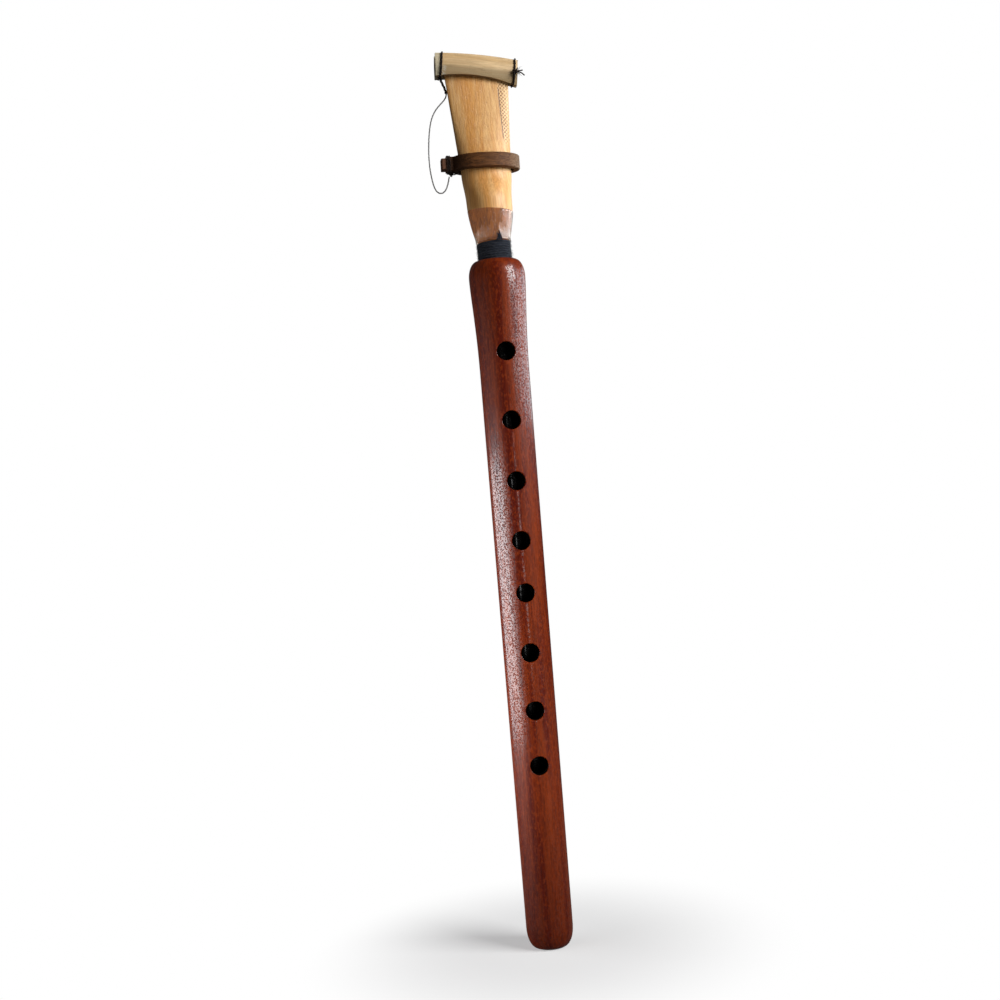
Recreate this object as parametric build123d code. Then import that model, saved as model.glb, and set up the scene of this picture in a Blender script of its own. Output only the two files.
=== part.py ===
from build123d import *
from math import cos, pi, radians, sin, sqrt, tan
import os

# A duduk: a plain wooden pipe with a wide flattened cane reed in its top.
# Millimetres, Z up along the pipe, origin on the bore's axis at the foot, finger holes facing -Y.

# Wooden body
BODY_LENGTH = 350.0
FOOT_DIAMETER = 23.9
FOOT_ROUNDING = 10.0          # height of the rounded foot
FOOT_RIM = 0.9                # flat rim left round the bore
NECK_DIAMETER = 25.2          # where the straight part meets the head
HEAD_LENGTH = 58.0            # from the top down to that place
HEAD_DIAMETER = 28.8
HEAD_ROUNDING = 8.5           # height of the rounded top
NECK_PULL = 0.48              # how far the straight part and the head
HEAD_PULL = 0.83              # each hold their line into the flare between them
HEAD_RIM = 0.8                # flat rim left round the socket
BORE_DIAMETER = 13.5
SOCKET_DEPTH = 18.0
SOCKET_CHAMFER = 0.5
FINGER_HOLE_DIAMETER = 9.5
THUMB_HOLE_DIAMETER = 8.5
HOLE_EDGE_ROUNDING = 0.35
# centres of the eight finger holes and of the thumb hole, down from the top
FINGER_HOLES_DOWN = (47.4, 82.1, 112.8, 142.9, 169.2, 199.4, 228.6, 256.3)
THUMB_HOLE_DOWN = 65.0

# Reed: one cane tube, choked at its tenon and flattened to a wide mouth
REED_LEAN = 1.3               # degrees, the reed's top towards -X
REED_LENGTH = 100.0           # from the socket's mouth to the tip
TENON_DIAMETER = 15.6
TENON_END_GAP = 0.5           # between the tenon and the socket's floor
TENON_WALL = 2.3
COLLAR_DIAMETER = 17.4        # the cane just above its binding
COLLAR_RISE = 1.8             # height of the step from tenon to collar
COLLAR_GAP = 0.1              # between the binding and that step
CANE_DIAMETER = 23.2          # the cane where it is still a round tube
CANE_SHOULDER = 28.5          # height of that place above the mouth
TIP_WIDTH = 33.4
TIP_THICKNESS = 3.0
TIP_WALL = 0.9
WEDGE_CURVE = 1.9             # how fast the tube flattens above its shoulder

# Thread binding round the tenon
BINDING_THREAD = 0.8
BINDING_PITCH = 1.22
BINDING_TOP = 9.4             # above the socket's mouth
BINDING_FIT = 0.06            # clearance on the cane
SOCKET_CLEARANCE = 0.33       # least gap from the binding to the socket's wall

# Clear film sleeve above the binding
SLEEVE_TOP = 25.0
SLEEVE_WALL = 0.25
SLEEVE_FIT = 0.05

# Tuning ring: one bent strip round the reed, its two ends tied beside it
RING_HEIGHT = 49.8            # middle of the strip above the mouth
RING_SKEW = 2.4               # degrees, its right side down
STRIP_THICKNESS = 3.1
STRIP_HEIGHT = 7.3
STRIP_ROUNDING = 0.7
RING_DEPTH_GAP = 0.3          # from the reed's front and back at the ring's lower edge
RING_LEFT_GAP = 1.1
RING_RIGHT_GAP = 1.45
FORK_ROUNDING = 0.6           # where the loop turns into its tail
TAIL_LENGTH = 5.4             # the tied ends, past the loop
TAIL_HEIGHT = 5.4
TAIL_SPLIT = 0.3
TAIL_ROUNDING = 0.9
LASHING_THREAD = 0.55
LASHING_PITCH = 0.74
LASHING_TURNS = 3
LASHING_START = 0.25          # from the loop's outer face
LASHING_SQUARENESS = 5        # 2 is round
LASHING_KNOT = 2.2            # diameter
LASHING_KNOT_SHIFT = 0.8      # its middle past the loop's outer face
LASHING_ENDS = ((4.0, -3.2, 0.6), (3.5, -2.4, -0.2))

# Reed cap: two slats of split cane tied together at both ends
CAP_HEIGHT = 97.8             # its middle above the mouth
CAP_SHIFT = 0.0
CAP_SKEW = 8.8                # degrees, its right end down
SLAT_LENGTH = 42.8
SLAT_LEFT_HEIGHT = 11.8
SLAT_RIGHT_HEIGHT = 13.1
SLAT_CROWN = 1.0              # how far the upper edge rises in the middle
SLAT_ARCH = 2.45              # how far the lower edge is cut up in the middle
SLAT_SLANTS = (1.0, 0.4)      # the left end's foot and the right end's head, set in from a square cut
SLAT_THICKNESS = 3.2
SLAT_ROUND = 12.0             # outside radius of the cane it was split from
SLAT_FIT = 0.45               # from each slat to the reed
SLAT_LEFT_GAP = 2.0           # half the gap between the slats at their ends
SLAT_RIGHT_GAP = 0.35
CAP_THREAD = 0.9
CAP_TIES = (-17.9, 19.6)      # along the slats from their middle
CAP_TIE_PITCH = 1.15
CAP_TIE_TURNS = 1.15
CAP_TIE_SQUARENESS = 3.6
THREAD_SEAT = 0.04            # from a tie's thread to what it is tied round
CAP_KNOT = 2.4                # diameter
CAP_KNOT_DROP = 0.6           # below the cap's middle
CAP_KNOT_ENDS = ((1.3, -0.3, 1.8), (3.9, -0.4, 1.1), (5.0, -0.4, -1.4))
CAP_KNOT_END_THREAD = 0.45

# Tether from the cap to the ring, a limp thread: its route from end to end,
# as x, y and height above the mouth in the reed's frame
TETHER_DIAMETER = 0.75
TETHER_HITCH_DIAMETER = 1.3   # where it is doubled, at its top
TETHER_HITCH_POINTS = 4       # and how many points of the route that is
TETHER_ROUTE = (
    (-18.7, 1.0, 93.0), (-17.6, 1.9, 90.3), (-16.9, 2.2, 87.5), (-18.0, 2.0, 84.1), (-21.3, 1.4, 80.7),
    (-24.6, 0.8, 76.2), (-26.7, 0.2, 69.3), (-28.1, -0.2, 60.0), (-28.7, -0.4, 50.6), (-28.0, -0.6, 43.2),
    (-27.3, -0.7, 39.6), (-26.1, -0.8, 36.9), (-23.7, -0.9, 36.0), (-21.6, -1.0, 37.6), (-20.4, -1.1, 40.2),
    (-19.6, -1.1, 42.7), (-19.2, -1.0, 44.4),
)

# Places that follow from these sizes
BINDING_RADIUS = TENON_DIAMETER / 2 + BINDING_FIT + BINDING_THREAD / 2
BINDING_OUTER = BINDING_RADIUS + BINDING_THREAD / 2
TENON_LENGTH = SOCKET_DEPTH - TENON_END_GAP
LEAN_OFFSET = SOCKET_DEPTH / 2 * tan(radians(REED_LEAN))
SOCKET_RADIUS = BINDING_OUTER + LEAN_OFFSET + SOCKET_CLEARANCE
COLLAR_BOTTOM = BINDING_TOP + COLLAR_GAP
COLLAR_TOP = COLLAR_BOTTOM + COLLAR_RISE
LASHING_WIDTH = LASHING_TURNS * LASHING_PITCH + LASHING_THREAD


def reed_frame():
    """Leans the reed about the middle of its socket; heights count from the socket's mouth."""
    pivot = BODY_LENGTH - SOCKET_DEPTH / 2
    return Pos(0, 0, pivot) * Rot(0, -REED_LEAN, 0) * Pos(0, 0, SOCKET_DEPTH / 2)


def reed_size(height):
    """Width and thickness of the cane at a height above the socket's mouth."""
    if height <= CANE_SHOULDER:
        rise = (height - COLLAR_TOP) / (CANE_SHOULDER - COLLAR_TOP)
        round_width = COLLAR_DIAMETER + (CANE_DIAMETER - COLLAR_DIAMETER) * sin(pi / 2 * rise)
        return round_width, round_width
    rise = (height - CANE_SHOULDER) / (REED_LENGTH - CANE_SHOULDER)
    width = CANE_DIAMETER + (TIP_WIDTH - CANE_DIAMETER) * rise
    thickness = TIP_THICKNESS + (CANE_DIAMETER - TIP_THICKNESS) * max(0, 1 - rise) ** WEDGE_CURVE
    return width, thickness


def cane_wall(height):
    return TENON_WALL + (TIP_WALL - TENON_WALL) * (height - COLLAR_TOP) / (REED_LENGTH - COLLAR_TOP)


def oval(height, grow):
    """The reed's section at a height, grown all round by a distance."""
    width, thickness = reed_size(height)
    return Pos(0, 0, height) * Ellipse(width / 2 + grow, thickness / 2 + grow)


def heights_between(low, high, steps):
    return [low + (high - low) * i / steps for i in range(steps + 1)]


def reed_stations():
    """Heights of the sections: close together in the neck and evenly spaced up the blades."""
    neck = heights_between(COLLAR_TOP, CANE_SHOULDER, 4)
    blades = heights_between(CANE_SHOULDER, REED_LENGTH, 8)
    return neck + blades[1:]


def biarc(start, start_direction, end, end_direction):
    """Two tangent arcs from start to end, as a list of edges."""
    chord = end - start
    both = start_direction + end_direction
    a = 2 * (1 - start_direction.dot(end_direction))
    b = 2 * chord.dot(both)
    c = -chord.dot(chord)
    reach = -c / b if abs(a) < 1e-9 else (-b + sqrt(b * b - 4 * a * c)) / (2 * a)
    joint = (start + start_direction * reach + end - end_direction * reach) / 2
    first = TangentArc(start, joint, tangent=start_direction)
    second = TangentArc(end, joint, tangent=-end_direction)
    return [first, second]


def coil_point(angle, half_width, half_height, squareness, pitch):
    """A point of a coil about Z: a circle where squareness is 2, and a rounded box above that."""
    across = abs(cos(angle) / half_width) ** squareness
    along = abs(sin(angle) / half_height) ** squareness
    radius = (across + along) ** (-1 / squareness)
    return Vector(radius * cos(angle), radius * sin(angle), pitch * angle / (2 * pi))


def coil(name, half_width, half_height, squareness, pitch, turns, thread, per_turn, start=0.0):
    """One unbroken thread wound about Z; prints its length, its least gap to itself and its tightest bend."""
    shape = (half_width, half_height, squareness, pitch)
    count = round(turns * per_turn)
    angles = [start + 2 * pi * i / per_turn for i in range(count + 1)]
    small = 0.001

    def direction(angle):
        return (coil_point(angle + small, *shape) - coil_point(angle - small, *shape)).normalized()

    edges = []
    for a, b in zip(angles, angles[1:]):
        edges += biarc(coil_point(a, *shape), direction(a), coil_point(b, *shape), direction(b))
    path = Wire(edges)
    tightest = min(e.radius for e in edges)
    section = Plane(origin=path @ 0, z_dir=path % 0) * Circle(thread / 2)
    fine = [start + (angles[-1] - start) * i / (60 * count) for i in range(60 * count + 1)]
    points = [coil_point(a, *shape) for a in fine]
    away = round(60 * per_turn * 0.5)
    gap = min((points[i] - q).length for i in range(0, len(points), 5) for q in points[i + away::5]) - thread
    print(f"{name}: {turns} turns, {path.length:.0f} mm, gap {gap:.2f}, tightest bend {tightest:.1f}")
    return sweep(section, path)


def passing(corner, reach, half_width, half_height, squareness):
    """A coil's two half sizes, grown alike until it passes a corner at no less than a distance."""
    grown = 1
    for step in range(31):
        angle = pi / 2 * step / 30
        across = ((corner[0] + reach * cos(angle)) / half_width) ** squareness
        along = ((corner[1] + reach * sin(angle)) / half_height) ** squareness
        grown = max(grown, (across + along) ** (1 / squareness))
    return grown * half_width, grown * half_height


def tied_knot(diameter, thread, ends):
    """A pulled knot about the origin with its cut ends, the ball turned so that its seam is clear of them."""
    knot = Rot(0, 0, 180) * Sphere(diameter / 2)
    for end in ends:
        path = Line((0, 0, 0), end)
        knot += sweep(Plane(origin=path @ 0, z_dir=path % 0) * Circle(thread / 2), path)
    return knot


def body_outline():
    """Half of the turned pipe's outside, from the axis at the foot round to the axis at the top."""
    foot_flat = BORE_DIAMETER / 2 + FOOT_RIM
    foot = FOOT_DIAMETER / 2
    neck = NECK_DIAMETER / 2
    neck_height = BODY_LENGTH - HEAD_LENGTH
    head = HEAD_DIAMETER / 2
    head_height = BODY_LENGTH - HEAD_ROUNDING
    head_flat = SOCKET_RADIUS + HEAD_RIM
    swell = head_height - neck_height
    return Curve() + [
        Line((0, 0), (foot_flat, 0)),
        EllipticalCenterArc((foot_flat, FOOT_ROUNDING), foot - foot_flat, FOOT_ROUNDING, 270, arc_size=90),
        Line((foot, FOOT_ROUNDING), (neck, neck_height)),
        Bezier((neck, neck_height), (neck, neck_height + NECK_PULL * swell),
               (head, neck_height + HEAD_PULL * swell), (head, head_height)),
        EllipticalCenterArc((head_flat, head_height), head - head_flat, HEAD_ROUNDING, 0, arc_size=90),
        Line((head_flat, BODY_LENGTH), (0, BODY_LENGTH)),
        Line((0, BODY_LENGTH), (0, 0)),
    ]


def drill(diameter, height, tilt):
    """A drill at a height, from the axis out through one wall."""
    bit = Cylinder(diameter / 2, HEAD_DIAMETER, align=(Align.CENTER, Align.CENTER, Align.MIN))
    return Pos(0, 0, height) * Rot(tilt, 0, 0) * bit


def wooden_body():
    """The turned pipe with its bore, socket, finger holes and thumb hole."""
    solid = revolve(Plane.XZ * make_face(body_outline()), Axis.Z)
    bottom = (Align.CENTER, Align.CENTER, Align.MIN)
    solid -= Cylinder(BORE_DIAMETER / 2, BODY_LENGTH, align=bottom)
    solid -= Pos(0, 0, BODY_LENGTH - SOCKET_DEPTH) * Cylinder(SOCKET_RADIUS, SOCKET_DEPTH, align=bottom)
    mouth = solid.edges().filter_by(GeomType.CIRCLE).group_by(Axis.Z)[-1].sort_by(SortBy.RADIUS)[0]
    solid = chamfer(mouth, SOCKET_CHAMFER)
    for down in FINGER_HOLES_DOWN:
        solid -= drill(FINGER_HOLE_DIAMETER, BODY_LENGTH - down, 90)
    solid -= drill(THUMB_HOLE_DIAMETER, BODY_LENGTH - THUMB_HOLE_DOWN, -90)
    mid_wall = (BORE_DIAMETER + FOOT_DIAMETER) / 4
    rims = [e for e in solid.edges() if abs(e.center().Y) > mid_wall]
    return fillet(rims, HOLE_EDGE_ROUNDING)


def reed_skin(grow):
    """The reed above its collar as a solid, grown all round by a distance."""
    return loft(Sketch() + [oval(h, grow) for h in reed_stations()])


def reed_cane():
    bottom = (Align.CENTER, Align.CENTER, Align.MIN)
    tenon_bottom = -TENON_LENGTH
    tenon_height = COLLAR_BOTTOM - tenon_bottom
    outside = Pos(0, 0, tenon_bottom) * Cylinder(TENON_DIAMETER / 2, tenon_height, align=bottom)
    tenon_top = Pos(0, 0, COLLAR_BOTTOM) * Circle(TENON_DIAMETER / 2)
    outside += loft(Sketch() + [tenon_top, Pos(0, 0, COLLAR_TOP) * Circle(COLLAR_DIAMETER / 2)])
    outside += reed_skin(0)
    tenon_bore = TENON_DIAMETER / 2 - TENON_WALL
    inside = Pos(0, 0, tenon_bottom) * Cylinder(tenon_bore, tenon_height, align=bottom)
    bore_top = Pos(0, 0, COLLAR_BOTTOM) * Circle(tenon_bore)
    collar_bore = Pos(0, 0, COLLAR_TOP) * Circle(COLLAR_DIAMETER / 2 - TENON_WALL)
    inside += loft(Sketch() + [bore_top, collar_bore])
    inside += loft(Sketch() + [oval(h, -cane_wall(h)) for h in reed_stations()])
    return outside - inside


def clear_sleeve():
    height = SLEEVE_TOP - COLLAR_TOP
    band = Pos(0, 0, COLLAR_TOP + height / 2) * Box(2 * CANE_DIAMETER, 2 * CANE_DIAMETER, height)
    return (reed_skin(SLEEVE_FIT + SLEEVE_WALL) - reed_skin(SLEEVE_FIT)) & band


def reed_binding():
    length = BINDING_TOP + TENON_LENGTH - BINDING_THREAD
    turns = int(length / BINDING_PITCH)
    thread = coil("binding", BINDING_RADIUS, BINDING_RADIUS, 2, BINDING_PITCH, turns, BINDING_THREAD, 2)
    return Pos(0, 0, BINDING_TOP - BINDING_THREAD / 2 - turns * BINDING_PITCH) * thread


def ring_loop_size():
    """The loop's inside half width and half depth, and where its middle lies across the reed."""
    width = reed_size(RING_HEIGHT)[0]
    left = -width / 2 - RING_LEFT_GAP
    right = width / 2 + RING_RIGHT_GAP
    depth = reed_size(RING_HEIGHT - STRIP_HEIGHT / 2)[1] / 2 + RING_DEPTH_GAP
    return (right - left) / 2, depth, (left + right) / 2


def tuning_ring():
    """The strip bent into an oval loop, its ends side by side in a tail and worn thinner past the lashing."""
    half_width, half_depth, middle = ring_loop_size()
    loop = Pos(middle, 0) * Ellipse(half_width + STRIP_THICKNESS, half_depth + STRIP_THICKNESS)
    hollow = Pos(middle, 0) * Ellipse(half_width, half_depth)
    left = middle - half_width
    length = STRIP_THICKNESS + TAIL_LENGTH
    thick = 2 * STRIP_THICKNESS + TAIL_SPLIT
    outline = loop + Pos(left - length / 2, 0) * Rectangle(length, thick)
    forks = [v for v in outline.vertices() if abs(v.X - left) < length / 2]
    outline = fillet(forks, FORK_ROUNDING)
    ends = outline.vertices().group_by(Axis.X)[0]
    outline = fillet(ends, TAIL_ROUNDING)
    strip = extrude(outline, STRIP_HEIGHT / 2, both=True)
    rims = strip.faces().sort_by(Axis.Z)
    strip = fillet(rims[0].edges() + rims[-1].edges(), STRIP_ROUNDING)
    strip -= extrude(hollow, STRIP_HEIGHT, both=True)
    strip -= Pos(left - length / 2, 0) * Box(length + 2 * STRIP_THICKNESS, TAIL_SPLIT, 2 * STRIP_HEIGHT)
    spare = (STRIP_HEIGHT - TAIL_HEIGHT) / 2
    free_end = TAIL_LENGTH - LASHING_START - LASHING_WIDTH
    for side in (-1, 1):
        z = side * (STRIP_HEIGHT - spare) / 2
        strip -= Pos(left - length, 0, z) * Box(2 * free_end, 2 * thick, spare)
    return strip


def ring_lashing():
    """The thread round the two tied ends, with the knot and its cut ends under them."""
    half_width, _, middle = ring_loop_size()
    half_thick = STRIP_THICKNESS + TAIL_SPLIT / 2
    seat = THREAD_SEAT + LASHING_THREAD / 2
    corner = (STRIP_HEIGHT / 2 - STRIP_ROUNDING, half_thick - STRIP_ROUNDING)
    flats = (STRIP_HEIGHT / 2 + seat, half_thick + seat)
    size = passing(corner, STRIP_ROUNDING + seat, *flats, LASHING_SQUARENESS)
    thread = coil("ring lashing", *size, LASHING_SQUARENESS, LASHING_PITCH, LASHING_TURNS, LASHING_THREAD, 16)
    loop_end = middle - half_width - STRIP_THICKNESS
    lashing = Pos(loop_end - LASHING_START - LASHING_THREAD / 2, 0, 0) * Rot(0, -90, 0) * thread
    x = loop_end - LASHING_KNOT_SHIFT
    low = -STRIP_HEIGHT / 2 - THREAD_SEAT - LASHING_KNOT / 2
    return lashing + Pos(x, 0, low) * tied_knot(LASHING_KNOT, LASHING_THREAD, LASHING_ENDS)


def between_ends(along, left, middle, right):
    """The parabola through three values, at the slats' left end, middle and right end."""
    share = 2 * along / SLAT_LENGTH
    return middle + (right - left) / 2 * share + ((left + right) / 2 - middle) * share ** 2


def parabola(left, middle, right):
    """The same curve as an edge in the plane, with the slats' length along x."""
    end = SLAT_LENGTH / 2
    return Bezier((-end, left), (0, 2 * middle - (left + right) / 2), (end, right))


def cap_gaps():
    """Half the gap between the slats at their left end, middle and right end."""
    lower_edge = CAP_HEIGHT - (SLAT_LEFT_HEIGHT + SLAT_RIGHT_HEIGHT) / 4 + SLAT_ARCH
    return SLAT_LEFT_GAP, reed_size(lower_edge)[1] / 2 + SLAT_FIT, SLAT_RIGHT_GAP


def slat_edges():
    """The heights of the slat's upper and lower edge at its left end, middle and right end."""
    left, right = SLAT_LEFT_HEIGHT / 2, SLAT_RIGHT_HEIGHT / 2
    middle = (left + right) / 2
    return (left, middle + SLAT_CROWN, right), (-left, SLAT_ARCH - middle, -right)


def slat_thickness(height):
    return SLAT_THICKNESS - SLAT_ROUND + sqrt(SLAT_ROUND ** 2 - height ** 2)


def cap_slat():
    """The front slat in the cap's own frame: bowed, round outside, its lower edge cut in an arch."""
    end = SLAT_LENGTH / 2
    upper, lower = slat_edges()
    high = max(upper) + SLAT_CROWN
    thin = slat_thickness(high)
    section = make_face(Curve() + [
        Line((0, -high), (0, high)),
        Line((0, high), (-thin, high)),
        ThreePointArc((-thin, high), (-SLAT_THICKNESS, 0), (-thin, -high)),
        Line((-thin, -high), (0, -high)),
    ])
    path = parabola(*[-gap for gap in cap_gaps()])
    start = Plane(origin=path @ 0, x_dir=(0, 1, 0), z_dir=path % 0)
    slat = sweep(start * section, path)
    foot, head = SLAT_SLANTS
    outline = make_face(Curve() + [
        parabola(*upper), Line((end, upper[2]), (end, lower[2])),
        parabola(*lower), Line((-end, lower[0]), (-end, upper[0])),
    ])
    outline -= make_face(Polyline((-end, upper[0]), (-end + foot, lower[0]), (-end, lower[0]), close=True))
    outline -= make_face(Polyline((end, lower[2]), (end - head, upper[2]), (end, upper[2]), close=True))
    return slat & extrude(Plane.XZ * outline, 2 * SLAT_THICKNESS + SLAT_LENGTH, both=True)


def cap_tie(along):
    """The thread round both slats at one place, a little more than one turn, doubled at the back."""
    seat = THREAD_SEAT + CAP_THREAD / 2
    spread = (CAP_TIE_PITCH * CAP_TIE_TURNS + CAP_THREAD) / 2
    upper, lower = slat_edges()
    gap = max(between_ends(along + side * spread, *cap_gaps()) for side in (-1, 1))
    top = max(between_ends(along + side * spread, *upper) for side in (-1, 1))
    bottom = min(between_ends(along + side * spread, *lower) for side in (-1, 1))
    half_high = (top - bottom) / 2
    corner = (half_high, gap + slat_thickness(min(top, -bottom)))
    flats = (half_high + seat, gap + SLAT_THICKNESS + seat)
    size = passing(corner, seat, *flats, CAP_TIE_SQUARENESS)
    start = pi / 2 - pi * (CAP_TIE_TURNS - 1)
    thread = coil("cap lashing", *size, CAP_TIE_SQUARENESS, CAP_TIE_PITCH, CAP_TIE_TURNS, CAP_THREAD, 8, start)
    middle = CAP_TIE_PITCH * (start / (2 * pi) + CAP_TIE_TURNS / 2)
    return Pos(along + middle, 0, (top + bottom) / 2) * Rot(0, -90, 0) * thread


def knotted_cap_tie(along):
    """The right tie, closed by the knot in front."""
    front = between_ends(along, *cap_gaps()) + SLAT_THICKNESS + THREAD_SEAT + CAP_KNOT / 2
    place = Pos(along, -front, -CAP_KNOT_DROP)
    return cap_tie(along) + place * tied_knot(CAP_KNOT, CAP_KNOT_END_THREAD, CAP_KNOT_ENDS)


def rounded_route(points):
    """A path along straight runs with each corner rounded as far as its runs allow, and its radii."""
    points = [Vector(*p) for p in points]
    runs = [b - a for a, b in zip(points, points[1:])]
    radii = []
    for before, after in zip(runs, runs[1:]):
        turn = radians(before.get_angle(after))
        radii.append(0.45 * min(before.length, after.length) / tan(turn / 2))
    return FilletPolyline(*points, radius=radii), radii


def thread_along(path, diameter):
    return sweep(Plane(origin=path @ 0, z_dir=path % 0) * Circle(diameter / 2), path)


def tether():
    """The thread, with its doubled start at the top."""
    path, radii = rounded_route(TETHER_ROUTE)
    thread = thread_along(path, TETHER_DIAMETER)
    section = pi * TETHER_DIAMETER ** 2 / 4
    print(f"tether: {path.length:.1f} mm, tightest bend {min(radii):.1f}")
    print(f"tether: volume {thread.volume:.2f}, section times length {section * path.length:.2f}")
    hitch, _ = rounded_route(TETHER_ROUTE[:TETHER_HITCH_POINTS])
    hitch = hitch.trim(0, 0.8)
    thread += thread_along(hitch, TETHER_HITCH_DIAMETER)
    return thread + Pos(hitch @ 1) * Sphere(TETHER_HITCH_DIAMETER / 2)


def build():
    """Every piece by its node's name, in the whole object's frame."""
    reed = reed_frame()
    ring = reed * Pos(0, 0, RING_HEIGHT) * Rot(0, RING_SKEW, 0)
    cap = reed * Pos(CAP_SHIFT, 0, CAP_HEIGHT) * Rot(0, CAP_SKEW, 0)
    slat = cap_slat()
    left_tie, right_tie = CAP_TIES
    return {
        "wooden_body": wooden_body(),
        "reed_cane": reed * reed_cane(),
        "reed_binding": reed * reed_binding(),
        "clear_sleeve": reed * clear_sleeve(),
        "tuning_ring": ring * tuning_ring(),
        "ring_lashing": ring * ring_lashing(),
        "cap_front_slat": cap * slat,
        "cap_rear_slat": cap * mirror(slat, Plane.XZ),
        "cap_lashing_left": cap * cap_tie(left_tie),
        "cap_lashing_right": cap * knotted_cap_tie(right_tie),
        "tether": reed * tether(),
    }


os.makedirs("parts", exist_ok=True)
for name, shape in build().items():
    export_step(shape, f"parts/{name}.step")
print(f"socket diameter {2 * SOCKET_RADIUS:.2f}")
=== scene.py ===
import math
import random

import bmesh
import bpy
from mathutils import Euler, Matrix, Vector, noise


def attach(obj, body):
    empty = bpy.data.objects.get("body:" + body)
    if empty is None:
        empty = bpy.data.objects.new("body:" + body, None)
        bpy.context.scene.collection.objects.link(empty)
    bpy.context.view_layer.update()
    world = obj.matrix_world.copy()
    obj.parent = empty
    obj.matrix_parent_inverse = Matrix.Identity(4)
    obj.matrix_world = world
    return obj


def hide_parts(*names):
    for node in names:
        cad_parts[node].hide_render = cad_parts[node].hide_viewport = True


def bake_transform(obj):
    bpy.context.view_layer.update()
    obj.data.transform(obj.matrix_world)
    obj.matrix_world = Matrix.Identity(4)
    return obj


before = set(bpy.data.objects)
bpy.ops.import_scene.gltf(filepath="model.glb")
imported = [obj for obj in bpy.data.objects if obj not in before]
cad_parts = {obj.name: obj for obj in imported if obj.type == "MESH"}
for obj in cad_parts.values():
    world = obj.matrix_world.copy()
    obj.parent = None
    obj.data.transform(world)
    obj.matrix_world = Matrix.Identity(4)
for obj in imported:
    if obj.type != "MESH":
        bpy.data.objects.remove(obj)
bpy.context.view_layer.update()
scene = bpy.context.scene
MM = 0.001

# The camera
# A plain lens a short arm's length in front of the pipe's middle, a little from its
# left, and rolled so that the pipe leans to the left in the picture.
CAMERA_BACK = 0.684
CAMERA_HEIGHT = 0.2283
CAMERA_ASIDE = -0.00767
CAMERA_YAW = math.radians(-7)
CAMERA_ROLL = math.radians(4.63)
ahead = Vector((-math.sin(CAMERA_YAW), math.cos(CAMERA_YAW), 0))
right = Vector((math.cos(CAMERA_YAW), math.sin(CAMERA_YAW), 0))
up = Vector((0, 0, 1))
picture_right = right * math.cos(CAMERA_ROLL) - up * math.sin(CAMERA_ROLL)
picture_up = right * math.sin(CAMERA_ROLL) + up * math.cos(CAMERA_ROLL)
camera = bpy.data.objects.new("camera", bpy.data.cameras.new("camera"))
scene.collection.objects.link(camera)
camera.data.lens = 48.24
camera.data.sensor_width = 36
placed = Matrix((picture_right, picture_up, -ahead)).transposed().to_4x4()
placed.translation = right * CAMERA_ASIDE + up * CAMERA_HEIGHT - ahead * CAMERA_BACK
camera.matrix_world = placed
scene.camera = camera

# The tether
# One limp dark thread that keeps the cap with the reed: hitched to the cap's left tie,
# it hangs in a loop beside the reed and comes up to the tuning ring's tied ends.
REED_LEAN = math.radians(-1.3)
reed_frame = Matrix.Translation((0, 0, 0.341)) @ Matrix.Rotation(REED_LEAN, 4, "Y") @ Matrix.Translation((0, 0, 0.009))
TETHER_DIAMETER = 0.00075
UPPER_ROUTE = (
    (-0.0186, 0.0004, 0.0944),
    (-0.0174, 0.0008, 0.0918),
    (-0.0161, 0.0013, 0.0882),
    (-0.0161, 0.0013, 0.0860),
    (-0.0178, 0.0013, 0.0836),
    (-0.0213, 0.0014, 0.0807),
    (-0.0246, 0.0008, 0.0762),
    (-0.0267, 0.0002, 0.0693),
    (-0.0281, -0.0002, 0.0600),
)
HALFWAY = (-0.0284, -0.0003, 0.0553)
LOWER_ROUTE = (
    (-0.0287, -0.0004, 0.0506),
    (-0.0280, -0.0006, 0.0432),
    (-0.0273, -0.0007, 0.0396),
    (-0.0261, -0.0008, 0.0369),
    (-0.0237, -0.0009, 0.0360),
    (-0.0216, -0.0010, 0.0376),
    (-0.0204, -0.0011, 0.0402),
    (-0.0196, -0.0011, 0.0427),
    (-0.0192, -0.0010, 0.0444),
)


def node(tree, kind, settings=None, **inputs):
    """A shader node with its settings, and its inputs given as values or as other nodes' sockets."""
    made = tree.nodes.new("ShaderNode" + kind)
    for key, value in (settings or {}).items():
        setattr(made, key, value)
    for key, value in inputs.items():
        feed(tree, made.inputs[key.replace("_", " ")], value)
    return made


def feed(tree, socket, value):
    if isinstance(value, bpy.types.NodeSocket):
        tree.links.new(value, socket)
    else:
        socket.default_value = value


def mixed(tree, factor, first, second, blend="MIX"):
    made = tree.nodes.new("ShaderNodeMix")
    made.data_type = "RGBA"
    made.blend_type = blend
    feed(tree, made.inputs[0], factor)
    feed(tree, made.inputs[6], first)
    feed(tree, made.inputs[7], second)
    return made.outputs[2]


def maths(tree, operation, first, second=0.0):
    made = node(tree, "Math", {"operation": operation})
    feed(tree, made.inputs[0], first)
    feed(tree, made.inputs[1], second)
    return made.outputs[0]


def step(tree, value, low, high):
    """0 below low and 1 above high, with a soft step between; the other way round where low is above high."""
    made = node(tree, "MapRange", {"interpolation_type": "SMOOTHSTEP"}, Value=value)
    made.inputs["From Min"].default_value = low
    made.inputs["From Max"].default_value = high
    return made.outputs[0]


def new_surface(name, **values):
    """A node material with its shader's plain values set; gives the material, its tree and its shader."""
    material = bpy.data.materials.new(name)
    material.use_nodes = True
    shader = material.node_tree.nodes["Principled BSDF"]
    for key, value in values.items():
        shader.inputs[key.replace("_", " ")].default_value = value
    return material, material.node_tree, shader


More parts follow.
